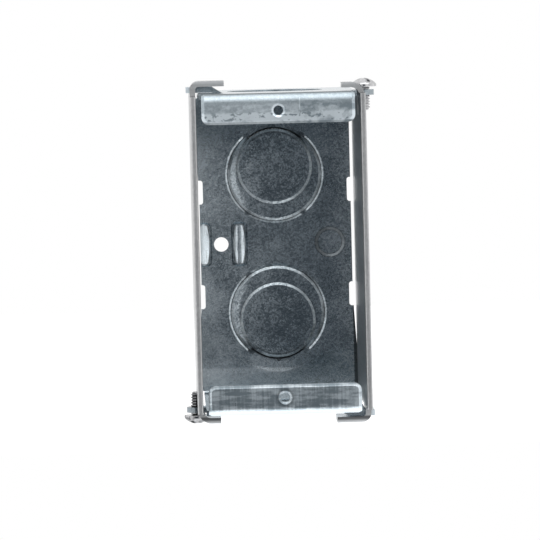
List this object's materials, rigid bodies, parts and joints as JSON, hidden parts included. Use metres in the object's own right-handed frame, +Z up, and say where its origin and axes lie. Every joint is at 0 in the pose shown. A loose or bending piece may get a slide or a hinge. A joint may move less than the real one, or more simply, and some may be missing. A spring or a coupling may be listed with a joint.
{
  "type": "masonry electrical box",
  "caption": "Deep open-front wall box folded from galvanised sheet, with removable side plates, clamp screws, knockouts and tapped flanges for a wiring device.",
  "frame": {"origin": "middle of the back panel's outer face, which lies against the wall", "axes": "+X to the right seen from the open front, +Y into the wall, +Z up as installed"},
  "size_m": [0.0586, 0.0635, 0.1008],
  "materials": {
    "galvanised_sheet": "dull mottled zinc coating, bluish grey",
    "galvanised_plate": "dull mottled zinc coating with sheared edges",
    "zinc_screw": "bright zinc plate"
  },
  "bodies": {
    "box": {"box_body": "galvanised_sheet", "left_side_plate": "galvanised_plate", "right_side_plate": "galvanised_plate"},
    "upper_screw": {"upper_screw": "zinc_screw"},
    "lower_screw": {"lower_screw": "zinc_screw"}
  },
  "joints": [
    {"name": "upper_screw_travel", "type": "slide", "parent": "box", "child": "upper_screw", "axis": [0, 0, 1], "range_m": [0, 0.004]},
    {"name": "lower_screw_travel", "type": "slide", "parent": "box", "child": "lower_screw", "axis": [0, 0, -1], "range_m": [0, 0.004]}
  ]
}
